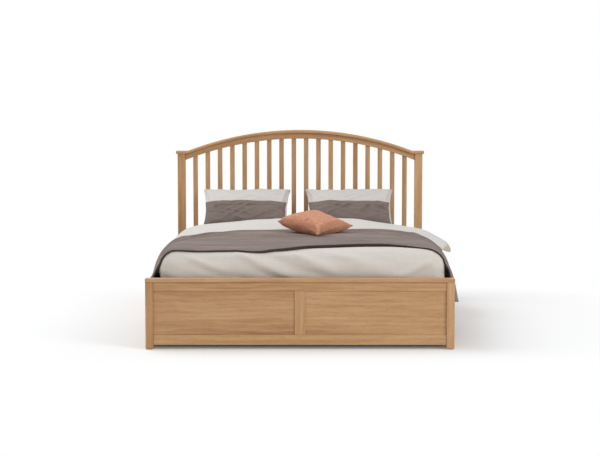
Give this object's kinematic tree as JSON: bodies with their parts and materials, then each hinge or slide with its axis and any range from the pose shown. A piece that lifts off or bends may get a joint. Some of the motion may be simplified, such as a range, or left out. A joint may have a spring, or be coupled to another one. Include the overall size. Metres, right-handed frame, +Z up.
{
  "type": "gas lift storage bed",
  "caption": "Oak bed with an arched slatted headboard, panelled footboard and storage box; its dressed slatted platform lifts at the foot on arms and gas struts.",
  "frame": {"origin": "on the floor, in the middle of the bed's box", "axes": "+Z up, +Y from the foot end towards the head end, +X to the right seen from the foot"},
  "size_m": [1.7599, 2.16, 1.0898],
  "materials": {
    "oak": "clear lacquered oak, satin",
    "plywood": "sanded plywood and pine, matt",
    "birch_slat": "laminated birch, satin",
    "black_steel": "black powder coat, fine texture",
    "bright_steel": "zinc plated steel",
    "strut_black": "black paint, semi gloss",
    "strut_chrome": "hard chromed rod",
    "foot_plastic": "moulded dark plastic",
    "holder_plastic": "moulded black plastic",
    "webbing": "woven webbing",
    "cover_linen": "washed plain weave cotton",
    "duvet_linen": "washed plain weave cotton",
    "throw_wool": "soft brushed weave",
    "white_linen": "washed plain weave cotton",
    "grey_linen": "washed plain weave linen",
    "terracotta_weave": "chunky basket weave"
  },
  "bodies": {
    "frame": {"head_post_left": "oak", "head_post_right": "oak", "headboard_cap": "oak", "headboard_arch_rail": "oak", "headboard_slats": "oak", "headboard_lower_rail": "oak", "head_panel": "oak", "foot_post_left": "oak", "foot_post_right": "oak", "footboard_cap": "oak", "footboard_top_rail": "oak", "footboard_bottom_rail": "oak", "footboard_stile": "oak", "footboard_panel_left": "oak", "footboard_panel_right": "oak", "side_rail_left": "oak", "side_rail_right": "oak", "floor_battens": "plywood", "floor_beams": "plywood", "floor_panel_foot": "plywood", "floor_panel_middle": "plywood", "floor_panel_head": "plywood", "corner_blocks": "plywood", "floor_feet": "foot_plastic", "rail_bolts": "bright_steel", "mech_plate_left": "black_steel", "mech_plate_right": "black_steel", "mech_plate_pins": "bright_steel"},
    "front_arms": {"front_arm_left": "black_steel", "front_arm_right": "black_steel"},
    "rear_arms": {"rear_arm_left": "black_steel", "rear_arm_right": "black_steel", "rear_arm_pins": "bright_steel"},
    "strut_cylinders": {"strut_cylinder_left": "strut_black", "strut_cylinder_right": "strut_black", "strut_base_eyes": "strut_black"},
    "strut_rods": {"strut_rod_left": "strut_chrome", "strut_rod_right": "strut_chrome", "strut_rod_eyes": "strut_black"},
    "platform": {"platform_rail_left": "black_steel", "platform_rail_right": "black_steel", "platform_head_tube": "black_steel", "platform_foot_tube": "black_steel", "platform_centre_tube": "black_steel", "platform_slats": "birch_slat", "slat_holders": "holder_plastic", "lift_bracket_left": "black_steel", "lift_bracket_right": "black_steel", "lift_bracket_pins": "bright_steel", "pull_strap": "webbing", "mattress": "cover_linen", "duvet": "duvet_linen", "throw": "throw_wool", "pillow_back_left": "white_linen", "pillow_back_right": "white_linen", "pillow_front_left": "grey_linen", "pillow_front_right": "grey_linen", "accent_cushion": "terracotta_weave"}
  },
  "joints": [
    {"name": "lift", "type": "hinge", "parent": "frame", "child": "front_arms", "pos_m": [0, -0.0247, 0.07], "axis": [1, 0, 0], "range_deg": [0, 58.65]},
    {"name": "platform_tilt", "type": "hinge", "parent": "front_arms", "child": "platform", "pos_m": [0, 0.3656, 0.225], "axis": [1, 0, 0], "range_deg": [-94.7, 0]},
    {"name": "rear_arm_swing", "type": "hinge", "parent": "frame", "child": "rear_arms", "pos_m": [0, 0.166, 0.0552], "axis": [1, 0, 0], "range_deg": [0, 63.3]},
    {"name": "strut_swing", "type": "hinge", "parent": "frame", "child": "strut_cylinders", "pos_m": [0, 0.0411, 0.06], "axis": [1, 0, 0], "range_deg": [0, 60.1]},
    {"name": "strut_extend", "type": "slide", "parent": "strut_cylinders", "child": "strut_rods", "axis": [0, 0.8285, 0.56], "range_m": [0, 0.1501]}
  ],
  "couplings": [
    {"joint": "platform_tilt", "follows": "lift", "ratio": -1.6138},
    {"joint": "rear_arm_swing", "follows": "lift", "ratio": 1.079},
    {"joint": "strut_swing", "follows": "lift", "ratio": 1.0232},
    {"joint": "strut_extend", "follows": "lift", "m_per_rad": 0.1465}
  ]
}
